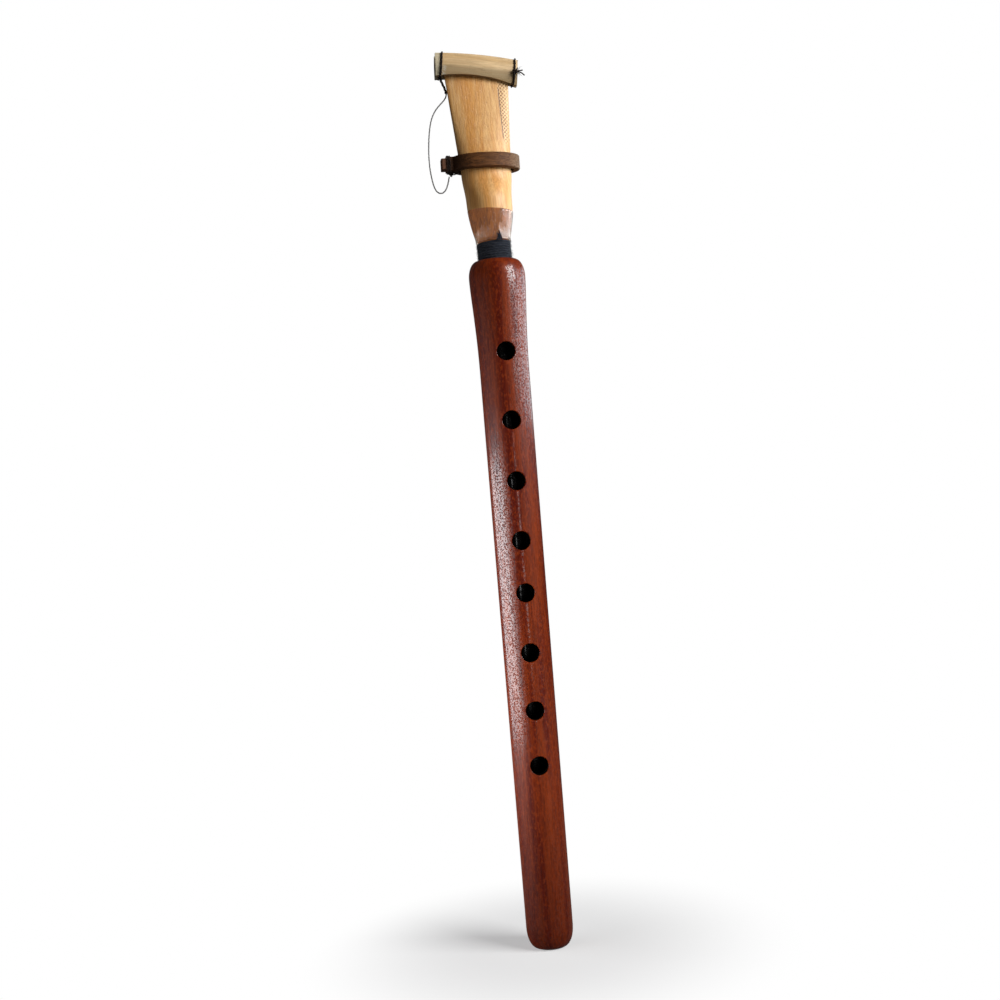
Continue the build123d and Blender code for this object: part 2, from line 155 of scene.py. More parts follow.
def fibre_group():
    """Spun thread: light and dark along its fibres, and how far they stand up."""
    tree = bpy.data.node_groups.new("spun fibres", "ShaderNodeTree")
    tree.interface.new_socket("Vector", in_out="INPUT", socket_type="NodeSocketVector")
    tree.interface.new_socket("Shade", in_out="OUTPUT", socket_type="NodeSocketFloat")
    tree.interface.new_socket("Height", in_out="OUTPUT", socket_type="NodeSocketFloat")
    start = tree.nodes.new("NodeGroupInput")
    end = tree.nodes.new("NodeGroupOutput")
    coarse = node(tree, "TexNoise", Vector=start.outputs[0], Scale=1.3, Detail=3.0)
    fine = node(tree, "TexNoise", Vector=start.outputs[0], Scale=7.0, Detail=4.0)
    shade = maths(tree, "MULTIPLY", coarse.outputs[0], fine.outputs[0])
    tree.links.new(step(tree, shade, 0.12, 0.42), end.inputs[0])
    tree.links.new(fine.outputs[0], end.inputs[1])
    return tree


spun_fibres = fibre_group()


def thread_surface(name, dark, light, sheen):
    """Dull spun thread between two shades, with a faint fuzz."""
    material, tree, shader = new_surface(name, Roughness=0.85, Sheen_Weight=sheen, Specular_IOR_Level=0.12)
    place = node(tree, "TexCoord").outputs["Object"]
    scaled = node(tree, "Mapping", Vector=place, Scale=(1 / MM, 1 / MM, 1 / MM))
    fibres = node(tree, "Group", {"node_tree": spun_fibres}, Vector=scaled.outputs[0])
    colour = mixed(tree, fibres.outputs["Shade"], (*dark, 1), (*light, 1))
    bump = node(tree, "Bump", Strength=0.6, Distance=0.00015, Height=fibres.outputs["Height"])
    tree.links.new(colour, shader.inputs["Base Color"])
    tree.links.new(bump.outputs[0], shader.inputs["Normal"])
    return material


def route_curve(name, points, order=3):
    """A curve of one open spline through the frame of the given points, with no thickness yet."""
    curve = bpy.data.curves.new(name, "CURVE")
    curve.dimensions = "3D"
    spline = curve.splines.new("NURBS")
    spline.points.add(len(points) - 1)
    for point, place in zip(spline.points, points):
        point.co = (*place, 1)
    spline.order_u = order
    spline.use_endpoint_u = True
    spline.resolution_u = 6
    return curve


def as_mesh(name, curve):
    """The mesh that a curve makes."""
    maker = bpy.data.objects.new(name + "_maker", curve)
    scene.collection.objects.link(maker)
    mesh = bpy.data.meshes.new_from_object(maker.evaluated_get(bpy.context.evaluated_depsgraph_get()))
    bpy.data.objects.remove(maker)
    mesh.name = name
    return mesh


def followed(points):
    """The points that a route's spline runs through."""
    line = as_mesh("route", route_curve("route", points))
    return [v.co.copy() for v in line.vertices]


def length_of(path):
    return sum((b - a).length for a, b in zip(path, path[1:]))


def strand_profile(diameter):
    """The section of a thread laid from three yarns: a round with three shallow waists."""
    curve = bpy.data.curves.new("thread_section", "CURVE")
    curve.dimensions = "2D"
    spline = curve.splines.new("POLY")
    spline.points.add(11)
    for i, point in enumerate(spline.points):
        angle = math.pi / 6 * i
        radius = diameter / 2 * (0.9 + 0.1 * math.cos(3 * angle))
        point.co = (radius * math.cos(angle), radius * math.sin(angle), 0, 1)
    spline.use_cyclic_u = True
    section = bpy.data.objects.new("thread_section", curve)
    scene.collection.objects.link(section)
    return section


def laid_thread(name, lines, diameter, material, lay=2.4):
    """Laid thread along each of the lines of points, as one mesh; lay is its twist's length in diameters."""
    curve = bpy.data.curves.new(name, "CURVE")
    curve.dimensions = "3D"
    curve.bevel_mode = "OBJECT"
    curve.bevel_object = strand_profile(diameter)
    curve.use_fill_caps = True
    for points in lines:
        spline = curve.splines.new("NURBS")
        spline.points.add(len(points) - 1)
        gone = 0.0
        for i, (point, place) in enumerate(zip(spline.points, points)):
            gone += (Vector(place) - Vector(points[i - 1])).length if i else 0.0
            point.co = (*place, 1)
            point.tilt = 2 * math.pi * gone / (lay * 3 * diameter)
        spline.order_u = 3
        spline.use_endpoint_u = True
        spline.resolution_u = 5
    section = curve.bevel_object
    piece = bpy.data.objects.new(name, as_mesh(name, curve))
    bpy.data.objects.remove(section)
    scene.collection.objects.link(piece)
    piece.data.materials.append(material)
    smoothed(piece)
    return piece


def smoothed(piece):
    for face in piece.data.polygons:
        face.use_smooth = True


tether_thread = thread_surface("tether thread", (0.11, 0.105, 0.10), (0.30, 0.29, 0.28), 0.2)


def in_frame(place, points):
    return [place @ Vector(p) for p in points]


upper_route = in_frame(reed_frame, UPPER_ROUTE + (HALFWAY,))
lower_route = in_frame(reed_frame, (HALFWAY,) + LOWER_ROUTE)


def tether_part(name, route):
    """One half of the tether: a thread laid along its route between the reed and what it is tied to."""
    path = followed(route)
    print(f"{name}: {1000 * length_of(path):.1f} mm")
    piece = laid_thread(name, [path[::3] + [path[-1]]], TETHER_DIAMETER, tether_thread)
    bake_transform(piece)
    return piece


tether_upper = tether_part("tether_upper", upper_route)
tether_lower = tether_part("tether_lower", lower_route)
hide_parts("tether")
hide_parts("tether")

# The tether's hitch
# The thread's start is doubled back, looped over the foot of the cap's left tie and
# twisted round itself down the reed's edge, to a small knot where the single thread leaves.
HITCH_SPREAD = 0.00042
HITCH_TURN = 0.9
HITCH_TOP = (-0.0185, -0.0006, 0.0962)
dark_thread = thread_surface("dark thread", (0.006, 0.003, 0.002), (0.040, 0.024, 0.016), 0.1)
hitch_path = followed(in_frame(reed_frame, (HITCH_TOP,) + UPPER_ROUTE[:5]))
hitch_path = hitch_path[: int(0.74 * len(hitch_path)) : 2]
hitch_strands = []
for first_angle in (0, 2 * math.pi / 3, 4 * math.pi / 3):
    strand = []
    for i, place in enumerate(hitch_path):
        angle = first_angle + i * HITCH_TURN
        strand.append(place + HITCH_SPREAD * Vector((math.cos(angle), math.sin(angle), 0)))
    hitch_strands.append(strand)


def knot_points(middle, size, place):
    """An overhand knot drawn up round its middle."""
    points = []
    for i in range(19):
        t = 2 * math.pi * i / 18
        x = math.sin(t) + 2 * math.sin(2 * t)
        y = math.cos(t) - 2 * math.cos(2 * t)
        z = -1.4 * math.sin(3 * t)
        points.append(place @ (Vector(middle) + size * Vector((x, z, y)) / 3))
    return points


hitch_strands.append(knot_points(hitch_path[-1], 0.0006, Matrix.Identity(4)))
tether_hitch = laid_thread("tether_hitch", hitch_strands, 0.00065, dark_thread)
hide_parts("tether")
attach(tether_hitch, "cap")

# The floor and the light
# A plain pale floor that fades to white away from the object, and soft lamps round it: a
# wide one in front on the right, a band round the right side and a low one round the left.
FLOOR_GLOW = 0.35
floor = bpy.data.objects.new("floor", bpy.data.meshes.new("floor"))
scene.collection.objects.link(floor)
shape = bmesh.new()
bmesh.ops.create_circle(shape, cap_ends=True, radius=6, segments=64)
bmesh.ops.translate(shape, verts=shape.verts, vec=(0, 0, -0.0002))
shape.to_mesh(floor.data)
shape.free()
floor_surface, tree, shader = new_surface("pale floor", Roughness=0.9)
light_path = node(tree, "LightPath")
tree.links.new(mixed(tree, light_path.outputs["Is Camera Ray"], (0.12, 0.12, 0.12, 1), (0.92, 0.92, 0.92, 1)),
               shader.inputs["Base Color"])
place = node(tree, "TexCoord").outputs["Object"]
away = node(tree, "VectorMath", {"operation": "LENGTH"}, Vector=place).outputs["Value"]
far = step(tree, away, 0.03, 0.13)
seen = maths(tree, "MAXIMUM", light_path.outputs["Is Camera Ray"], light_path.outputs["Is Transmission Ray"])
white = maths(tree, "ADD", maths(tree, "MULTIPLY", far, 1 - FLOOR_GLOW), FLOOR_GLOW)
glow = node(tree, "Emission", Color=(1, 1, 1, 1), Strength=1.0)
blend = node(tree, "MixShader", Fac=maths(tree, "MULTIPLY", white, seen))
tree.links.new(shader.outputs[0], blend.inputs[1])
tree.links.new(glow.outputs[0], blend.inputs[2])
tree.links.new(blend.outputs[0], tree.nodes["Material Output"].inputs[0])
floor.data.materials.append(floor_surface)

world = bpy.data.worlds.new("studio")
scene.world = world
world.use_nodes = True
tree = world.node_tree
room = tree.nodes["Background"]
room.inputs[0].default_value = (1, 1, 1, 1)
room.inputs[1].default_value = 0.055
white = node(tree, "Background", Color=(1, 1, 1, 1), Strength=1.0)
light_path = node(tree, "LightPath")
seen = maths(tree, "MAXIMUM", light_path.outputs["Is Camera Ray"], light_path.outputs["Is Transmission Ray"])
blend = node(tree, "MixShader", Fac=seen)
tree.links.new(room.outputs[0], blend.inputs[1])
tree.links.new(white.outputs[0], blend.inputs[2])
tree.links.new(blend.outputs[0], tree.nodes["World Output"].inputs[0])


def lamp(name, place, aim, width, height, power, spread=180, tint=(1, 1, 1)):
    """A rectangular soft lamp, facing a point and shining within an angle."""
    made = bpy.data.objects.new(name, bpy.data.lights.new(name, "AREA"))
    scene.collection.objects.link(made)
    made.data.shape = "RECTANGLE"
    made.data.size = width
    made.data.size_y = height
    made.data.energy = power
    made.data.color = tint
    made.data.spread = math.radians(spread)
    made.location = place
    made.rotation_euler = (Vector(aim) - Vector(place)).to_track_quat("-Z", "Y").to_euler()
    made.visible_camera = False


def lamp_arc(name, turns, powers, away, level, width, height, tint):
    """Soft lamps side by side round the object, at angles from its front, that light a level band of it."""
    for number, (turn, power) in enumerate(zip(turns, powers)):
        angle = math.radians(turn)
        place = (away * math.sin(angle), -away * math.cos(angle), level)
        lamp(f"{name}_{number}", place, (0, 0, level), width, height, power, spread=50, tint=tint)


lamp("lamp_key", (0.95, -0.72, 0.76), (0, 0, 0.30), 0.75, 0.65, 21)
lamp("lamp_front", (0.13, -0.99, 0.15), (0, 0, 0.15), 0.08, 0.26, 0.30)
lamp_arc("lamp_right", (68, 85, 102, 119, 136), (0.034, 0.064, 0.048, 0.034, 0.030), 0.60, 0.42, 0.18, 0.24,
         tint=(0.80, 0.92, 1.0))
lamp_arc("lamp_left", (-38, -54, -70, -87, -104, -121), (0.010, 0.036, 0.088, 0.094, 0.070, 0.060), 0.45, 0.145,
         0.136, 0.23, tint=(0.97, 0.97, 1.0))


# The wooden body
# One pipe turned from a close-grained fruit wood and stained red-brown, with eight
# finger holes in front and a thumb hole behind, and a thin clear lacquer over it all.
BORE_RADIUS = 6.75
SOCKET_RADIUS = 9.195
SOCKET_FLOOR = 332.0
BODY_TOP = 350.0
FOOT_CENTRE = (7.65, 10.0)
FOOT_RADIUS = 11.95
NECK = (12.6, 292.0)
HEAD_PULLS = (315.76, 333.085)
HEAD = (14.4, 341.5)
HEAD_CENTRE = (9.995, 341.5)
FINGER_HOLES_DOWN = (47.4, 82.1, 112.8, 142.9, 169.2, 199.4, 228.6, 256.3)
THUMB_HOLE_DOWN = 65.0
FINGER_HOLE_RADIUS = 4.75
THUMB_HOLE_RADIUS = 4.25
EDGE_ROUNDING = 0.35
WOOD_DARK = (0.036, 0.0030, 0.0006)
WOOD_RED = (0.120, 0.0080, 0.0013)
WOOD_GLOW = (0.250, 0.0340, 0.0042)
WOOD_PAINTED_BORE_SHADE = (0.006, 0.003, 0.002)


def body_outline():
    """The turned pipe's section as radius and height, from its foot up outside and down the bore."""
    outline = [(BORE_RADIUS, 0.0)]
    for i in range(11):
        angle = math.pi / 20 * i
        outline.append((FOOT_CENTRE[0] + (FOOT_RADIUS - FOOT_CENTRE[0]) * math.sin(angle),
                        FOOT_CENTRE[1] - FOOT_CENTRE[1] * math.cos(angle)))
    for i in range(1, 142):
        share = i / 141
        outline.append((FOOT_RADIUS + (NECK[0] - FOOT_RADIUS) * share, FOOT_CENTRE[1] + (NECK[1] - FOOT_CENTRE[1]) * share))
    for i in range(1, 27):
        t = i / 26
        start, near, far_share, last = (1 - t) ** 3, 3 * (1 - t) ** 2 * t, 3 * (1 - t) * t ** 2, t ** 3
        outline.append((NECK[0] * (start + near) + HEAD[0] * (far_share + last),
                        NECK[1] * start + HEAD_PULLS[0] * near + HEAD_PULLS[1] * far_share + HEAD[1] * last))
    for i in range(1, 13):
        angle = math.pi / 24 * i
        outline.append((HEAD_CENTRE[0] + (HEAD[0] - HEAD_CENTRE[0]) * math.cos(angle),
                        HEAD_CENTRE[1] + (BODY_TOP - HEAD_CENTRE[1]) * math.sin(angle)))
    outline += [(SOCKET_RADIUS + 0.5, BODY_TOP), (SOCKET_RADIUS, BODY_TOP - 0.5), (SOCKET_RADIUS, SOCKET_FLOOR)]
    return outline + [(BORE_RADIUS, SOCKET_FLOOR * (1 - i / 40)) for i in range(40)]


def spun(shape, outline, steps):
    """A closed outline of radius and height, turned once round Z."""
    verts = [shape.verts.new((radius, 0, level)) for radius, level in outline]
    edges = [shape.edges.new((a, b)) for a, b in zip(verts, verts[1:] + verts[:1])]
    bmesh.ops.spin(shape, geom=verts + edges, cent=(0, 0, 0), axis=(0, 0, 1), angle=2 * math.pi, steps=steps,
                   use_merge=True)


def drilled_hole(down, radius, side):
    """What the drill takes away at one hole, its mouth flared to leave a rounded edge on the round wall."""
    level = BODY_TOP - down
    wall = min(b for a, b in sorted((abs(z - level), r) for r, z in body_outline() if r > 11)[:1])
    flare = radius + EDGE_ROUNDING
    outline = [(0.0, 2.0), (radius, 2.0)]
    for i in range(6):
        angle = math.pi - math.radians(15) * i
        outline.append((flare + EDGE_ROUNDING * math.cos(angle), wall - EDGE_ROUNDING + EDGE_ROUNDING * math.sin(angle)))
    outline += [(outline[-1][0], wall + 3), (0.0, wall + 3)]
    shape = bmesh.new()
    verts = [shape.verts.new((r, 0, z)) for r, z in outline]
    edges = [shape.edges.new(pair) for pair in zip(verts, verts[1:])]
    bmesh.ops.spin(shape, geom=verts + edges, cent=(0, 0, 0), axis=(0, 0, 1), angle=2 * math.pi, steps=48, use_merge=True)
    bmesh.ops.remove_doubles(shape, verts=shape.verts, dist=1e-5)
    for vertex in shape.verts:
        if vertex.co.z > 3:
            vertex.co.z -= wall - math.sqrt(wall ** 2 - vertex.co.x ** 2)
    bmesh.ops.rotate(shape, verts=shape.verts, cent=(0, 0, 0), matrix=Matrix.Rotation(side * math.pi / 2, 3, "X"))
    bmesh.ops.translate(shape, verts=shape.verts, vec=(0, 0, level))
    bmesh.ops.recalc_face_normals(shape, faces=shape.faces)
    return shape


holes = [(down, FINGER_HOLE_RADIUS, 1) for down in FINGER_HOLES_DOWN] + [(THUMB_HOLE_DOWN, THUMB_HOLE_RADIUS, -1)]
drills = bpy.data.meshes.new("drills")
all_drills = bmesh.new()
for hole in holes:
    drill = drilled_hole(*hole)
    drill.to_mesh(drills)
    drill.free()
    all_drills.from_mesh(drills)
bmesh.ops.scale(all_drills, verts=all_drills.verts, vec=(MM, MM, MM))
all_drills.to_mesh(drills)
all_drills.free()
drill_piece = bpy.data.objects.new("drills", drills)
scene.collection.objects.link(drill_piece)
shape = bmesh.new()
spun(shape, body_outline(), 144)
bmesh.ops.recalc_face_normals(shape, faces=shape.faces)
bmesh.ops.scale(shape, verts=shape.verts, vec=(MM, MM, MM))
turned_pipe = bpy.data.objects.new("turned_pipe", bpy.data.meshes.new("turned_pipe"))
scene.collection.objects.link(turned_pipe)
shape.to_mesh(turned_pipe.data)
shape.free()
cut = turned_pipe.modifiers.new("holes", "BOOLEAN")
cut.operation = "DIFFERENCE"
cut.solver = "EXACT"
cut.object = drill_piece
drilled = bpy.data.meshes.new_from_object(turned_pipe.evaluated_get(bpy.context.evaluated_depsgraph_get()))
bpy.data.objects.remove(drill_piece)
bpy.data.objects.remove(turned_pipe)
wooden_pipe = bpy.data.objects.new("wooden_pipe", drilled)
scene.collection.objects.link(wooden_pipe)
smoothed(wooden_pipe)
drilled.set_sharp_from_angle(angle=math.radians(32))
print(f"wooden pipe: {len(drilled.polygons)} faces")


def grain_group():
    """Straight grain along Z in millimetres: broad bands, fine streaks, short pores and their relief."""
    tree = bpy.data.node_groups.new("straight grain", "ShaderNodeTree")
    tree.interface.new_socket("Vector", in_out="INPUT", socket_type="NodeSocketVector")
    tree.interface.new_socket("Stretch", in_out="INPUT", socket_type="NodeSocketFloat")
    for name in ("Bands", "Streaks", "Pores", "Height"):
        tree.interface.new_socket(name, in_out="OUTPUT", socket_type="NodeSocketFloat")
    start = tree.nodes.new("NodeGroupInput")
    end = tree.nodes.new("NodeGroupOutput")
    parts = node(tree, "SeparateXYZ", Vector=start.outputs["Vector"])
    along = maths(tree, "DIVIDE", parts.outputs[2], start.outputs["Stretch"])
    place = node(tree, "CombineXYZ", X=parts.outputs[0], Y=parts.outputs[1], Z=along).outputs[0]
    broad = node(tree, "TexNoise", Vector=place, Scale=0.22, Detail=3.0, Distortion=0.4)
    streaks = node(tree, "TexNoise", Vector=place, Scale=1.6, Detail=5.0, Roughness=0.65)
    pores = node(tree, "TexNoise", Vector=place, Scale=4.5, Detail=2.0)
    tree.links.new(step(tree, broad.outputs[0], 0.35, 0.65), end.inputs["Bands"])
    tree.links.new(step(tree, streaks.outputs[0], 0.32, 0.68), end.inputs["Streaks"])
    tree.links.new(step(tree, pores.outputs[0], 0.60, 0.72), end.inputs["Pores"])
    height = maths(tree, "SUBTRACT", streaks.outputs[0], step(tree, pores.outputs[0], 0.58, 0.70))
    tree.links.new(height, end.inputs["Height"])
    return tree


straight_grain = grain_group()
lacquered_wood, tree, shader = new_surface("lacquered red-brown wood", Roughness=0.35, Coat_Roughness=0.17,
                                           Specular_IOR_Level=0.1)
place = node(tree, "TexCoord").outputs["Object"]
scaled = node(tree, "Mapping", Vector=place, Scale=(1 / MM, 1 / MM, 1 / MM))
grain = node(tree, "Group", {"node_tree": straight_grain}, Vector=scaled.outputs[0], Stretch=22.0)
colour = mixed(tree, grain.outputs["Bands"], (*WOOD_RED, 1), (*WOOD_GLOW, 1))
colour = mixed(tree, maths(tree, "MULTIPLY", grain.outputs["Streaks"], 0.55), colour, (*WOOD_DARK, 1))
colour = mixed(tree, maths(tree, "MULTIPLY", grain.outputs["Pores"], 0.7), colour, (*WOOD_DARK, 1))
drawn = node(tree, "Mapping", Vector=scaled.outputs[0], Scale=(1, 1, 0.45))
flecks = node(tree, "TexNoise", Vector=drawn.outputs[0], Scale=1.0, Detail=2.0, Roughness=0.6).outputs[0]
colour = mixed(tree, maths(tree, "MULTIPLY", step(tree, flecks, 0.48, 0.66), 0.7), colour, (*WOOD_GLOW, 1))
flat_place = node(tree, "VectorMath", {"operation": "MULTIPLY"})
tree.links.new(scaled.outputs[0], flat_place.inputs[0])
flat_place.inputs[1].default_value = (1, 1, 0)
from_axis = node(tree, "VectorMath", {"operation": "LENGTH"}, Vector=flat_place.outputs[0]).outputs["Value"]
level = node(tree, "SeparateXYZ", Vector=scaled.outputs[0]).outputs[2]
# Painted shade: the bore and the walls of the finger holes are painted near black, as shade falls inside them.
hole_wall_shade = maths(tree, "MULTIPLY", step(tree, level, 12.0, 13.0), step(tree, level, 338.0, 336.0))
hole_wall_shade = maths(tree, "MULTIPLY", hole_wall_shade, step(tree, from_axis, 11.7, 11.3))
bore_and_hole_shade = maths(tree, "MAXIMUM", hole_wall_shade, step(tree, from_axis, 7.3, 6.9))
colour = mixed(tree, maths(tree, "MULTIPLY", step(tree, level, 90.0, 5.0), 0.45), colour, (*WOOD_DARK, 1))
colour = mixed(tree, bore_and_hole_shade, colour, (*WOOD_PAINTED_BORE_SHADE, 1))
tree.links.new(colour, shader.inputs["Base Color"])
speckle = node(tree, "TexNoise", Vector=scaled.outputs[0], Scale=2.2, Detail=2.0, Roughness=0.7)
sparkle = node(tree, "TexNoise", Vector=scaled.outputs[0], Scale=1.25, Detail=1.0).outputs[0]
lacquer = node(tree, "MapRange", Value=step(tree, sparkle, 0.43, 0.56))
lacquer.inputs["To Min"].default_value = 0.08
tree.links.new(lacquer.outputs[0], shader.inputs["Coat Weight"])
uneven = maths(tree, "ADD", speckle.outputs[0], maths(tree, "MULTIPLY", grain.outputs["Height"], 0.12))
bump = node(tree, "Bump", Strength=1.0, Distance=0.00014, Height=uneven)
tree.links.new(bump.outputs[0], shader.inputs["Normal"])
gloss = node(tree, "MapRange", Value=speckle.outputs[0])
gloss.inputs["To Min"].default_value = 0.25
gloss.inputs["To Max"].default_value = 0.50
tree.links.new(gloss.outputs[0], shader.inputs["Roughness"])


def dress(name, material):
    """Gives a solid of the model its finish."""
    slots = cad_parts[name].material_slots
    for slot in slots:
        slot.material = material


wooden_pipe.data.materials.clear()
wooden_pipe.data.materials.append(lacquered_wood)
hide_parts("wooden_body")
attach(wooden_pipe, "pipe")

# The reed
# One tube of golden cane, choked at its tenon and pressed flat to a wide mouth. Its
# blades are rasped thin towards the tip, where a fine split runs down beside one edge.
CANE_GOLD = (0.78, 0.375, 0.100)
CANE_STREAK = (0.48, 0.180, 0.038)
CANE_PALE = (0.88, 0.53, 0.21)
CANE_UNDER_FILM = (0.13, 0.045, 0.012)
FILM_TOP = 25.0
FILM_SLANT = 0.1
RASP_TEETH = 3.3
RASP_PALE = (0.84, 0.58, 0.28)
RASP_BROWN = (0.30, 0.105, 0.028)
SPLIT_ASIDE = 10.25
SPLIT_SPAN = (61.0, 88.5)


def local_place(tree, place):
    """Object coordinates in millimetres in the frame of one of the leaning pieces."""
    coords = node(tree, "TexCoord").outputs["Object"]
    made = node(tree, "Mapping", {"vector_type": "TEXTURE"}, Vector=coords, Scale=(MM, MM, MM))
    made.inputs["Location"].default_value = place.to_translation()
    made.inputs["Rotation"].default_value = place.to_euler()
    return made.outputs[0]


reed_surface, tree, shader = new_surface("golden reed cane", Roughness=0.42, Specular_IOR_Level=0.5)
place = local_place(tree, reed_frame)
parts = node(tree, "SeparateXYZ", Vector=place)
aside, forward, height = parts.outputs
grain = node(tree, "Group", {"node_tree": straight_grain}, Vector=place, Stretch=60.0)
colour = mixed(tree, grain.outputs["Bands"], (*CANE_GOLD, 1), (*CANE_PALE, 1))
colour = mixed(tree, maths(tree, "MULTIPLY", grain.outputs["Streaks"], 0.65), colour, (*CANE_STREAK, 1))
colour = mixed(tree, maths(tree, "MULTIPLY", grain.outputs["Pores"], 0.35), colour, (*CANE_STREAK, 1))
off_split = maths(tree, "ABSOLUTE", maths(tree, "SUBTRACT", aside, SPLIT_ASIDE))
split_length = maths(tree, "MULTIPLY", step(tree, height, SPLIT_SPAN[0] - 1, SPLIT_SPAN[0] + 2),
                     step(tree, height, SPLIT_SPAN[1], SPLIT_SPAN[1] - 1))
in_front = step(tree, forward, 0.0, -0.5)
split = maths(tree, "MULTIPLY", maths(tree, "MULTIPLY", step(tree, off_split, 0.28, 0.12), split_length), in_front)
colour = mixed(tree, split, colour, (0.055, 0.018, 0.005, 1))
rasp_wave = node(tree, "TexNoise", Vector=place, Scale=0.5, Detail=2.0).outputs[0]
rasp_wave = maths(tree, "MULTIPLY", rasp_wave, 3.0)
one_way = maths(tree, "MULTIPLY", aside, RASP_TEETH)
other_way = maths(tree, "MULTIPLY", height, RASP_TEETH)
one_way = maths(tree, "SINE", maths(tree, "ADD", one_way, rasp_wave))
other_way = maths(tree, "SINE", maths(tree, "ADD", other_way, rasp_wave))
rasp_marks = maths(tree, "MULTIPLY", one_way, other_way)
rasped = maths(tree, "MULTIPLY", step(tree, aside, SPLIT_ASIDE, SPLIT_ASIDE + 0.4), in_front)
rasped = maths(tree, "MULTIPLY", rasped, step(tree, height, 55.0, 64.0))
colour = mixed(tree, maths(tree, "MULTIPLY", rasped, 0.6), colour, (*RASP_PALE, 1))
rasped = maths(tree, "MULTIPLY", rasped, step(tree, rasp_marks, 0.0, 0.3))
rasped = maths(tree, "MULTIPLY", rasped, step(tree, aside, SPLIT_ASIDE + 8.0, SPLIT_ASIDE))
colour = mixed(tree, rasped, colour, (*RASP_BROWN, 1))
film_level = maths(tree, "ADD", height, maths(tree, "MULTIPLY", aside, FILM_SLANT))
covered = step(tree, film_level, FILM_TOP + 0.25, FILM_TOP - 0.25)
under = mixed(tree, grain.outputs["Streaks"], (0.39, 0.125, 0.015, 1), (*CANE_UNDER_FILM, 1))
colour = mixed(tree, covered, colour, under)
tree.links.new(colour, shader.inputs["Base Color"])
relief = maths(tree, "SUBTRACT", grain.outputs["Height"], maths(tree, "MULTIPLY", split, 0.5))
relief = maths(tree, "SUBTRACT", relief, maths(tree, "MULTIPLY", rasped, 0.8))
bump = node(tree, "Bump", Strength=0.45, Distance=0.0002, Height=relief)
tree.links.new(bump.outputs[0], shader.inputs["Normal"])
dress("reed_cane", reed_surface)

# The binding
# Dark blue cotton wound tightly round the reed's tenon, so that it seals in the body's
# socket; its turns lie against each other and its loose fibres stand out as a fuzz.
BINDING_RADIUS = 8.28 * MM
BINDING_HALF_HEIGHT = 0.62 * MM
BINDING_HALF_DEPTH = 0.50 * MM
BINDING_PITCH = 1.22 * MM
BINDING_TURNS = 21
BINDING_STEPS = 28
BINDING_TOP = 9.0 * MM
binding_thread = thread_surface("navy cotton", (0.0040, 0.0055, 0.0095), (0.034, 0.040, 0.056), 0.08)
loose_cotton = thread_surface("loose navy cotton", (0.010, 0.012, 0.020), (0.060, 0.066, 0.085), 0.2)
shape = bmesh.new()
bmesh.ops.create_circle(shape, radius=1, segments=10)
bmesh.ops.scale(shape, verts=shape.verts, vec=(BINDING_HALF_DEPTH, BINDING_HALF_HEIGHT, 1))
bmesh.ops.rotate(shape, verts=shape.verts, cent=(0, 0, 0), matrix=Matrix.Rotation(math.pi / 2, 3, "X"))
bmesh.ops.translate(shape, verts=shape.verts, vec=(BINDING_RADIUS, 0, 0))
bmesh.ops.spin(shape, geom=shape.verts[:] + shape.edges[:], cent=(0, 0, 0), axis=(0, 0, 1),
               dvec=(0, 0, BINDING_PITCH / BINDING_STEPS), angle=2 * math.pi * BINDING_TURNS,
               steps=BINDING_TURNS * BINDING_STEPS)
bmesh.ops.holes_fill(shape, edges=[e for e in shape.edges if e.is_boundary])
for vertex in shape.verts:
    around = Vector((vertex.co.x, vertex.co.y, 0)).normalized()
    vertex.co += around * 0.07 * MM * noise.noise(vertex.co / (1.7 * MM))
bmesh.ops.recalc_face_normals(shape, faces=shape.faces)
bmesh.ops.transform(shape, verts=shape.verts,
                    matrix=reed_frame @ Matrix.Translation((0, 0, BINDING_TOP - BINDING_TURNS * BINDING_PITCH)))
binding = bpy.data.objects.new("reed_binding_thread", bpy.data.meshes.new("reed_binding_thread"))
scene.collection.objects.link(binding)
shape.to_mesh(binding.data)
shape.free()
binding.data.materials.append(binding_thread)
smoothed(binding)
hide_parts("reed_binding")
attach(binding, "binding")


def fuzz(name, roots, length, thickness, material, seed):
    """Loose fibres from each root along its direction, bent by chance, as one mesh of three-sided hairs."""
    chance = random.Random(seed)
    curve = bpy.data.curves.new(name, "CURVE")
    curve.dimensions = "3D"
    curve.bevel_depth = thickness / 2
    curve.bevel_resolution = 0
    curve.resolution_u = 2
    for root, direction in roots:
        spline = curve.splines.new("POLY")
        spline.points.add(3)
        place = Vector(root)
        heading = Vector(direction).normalized()
        reach = length * chance.uniform(0.4, 1.0)
        for point in spline.points:
            point.co = (*place, 1)
            heading = (heading + Vector([chance.uniform(-0.6, 0.6) for _ in range(3)])).normalized()
            place = place + heading * reach / 3
    piece = bpy.data.objects.new(name, as_mesh(name, curve))
    scene.collection.objects.link(piece)
    piece.data.materials.append(material)
    return piece


chance = random.Random(4)
roots = []
for i in range(900):
    angle = chance.uniform(0, 2 * math.pi)
    level = chance.uniform(0.6, 9.4) * MM
    outward = Vector((math.cos(angle), math.sin(angle), 0))
    sideways = Vector((-math.sin(angle), math.cos(angle), 0)) * chance.choice((-1, 1))
    root = reed_frame @ (outward * (BINDING_RADIUS + 0.42 * MM) + Vector((0, 0, level)))
    roots.append((root, outward * chance.uniform(0.1, 0.7) + sideways + Vector((0, 0, chance.uniform(-0.5, 0.5)))))
binding_fuzz = fuzz("reed_binding_fuzz", roots, 1.5 * MM, 0.075 * MM, loose_cotton, 5)
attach(binding_fuzz, "binding")

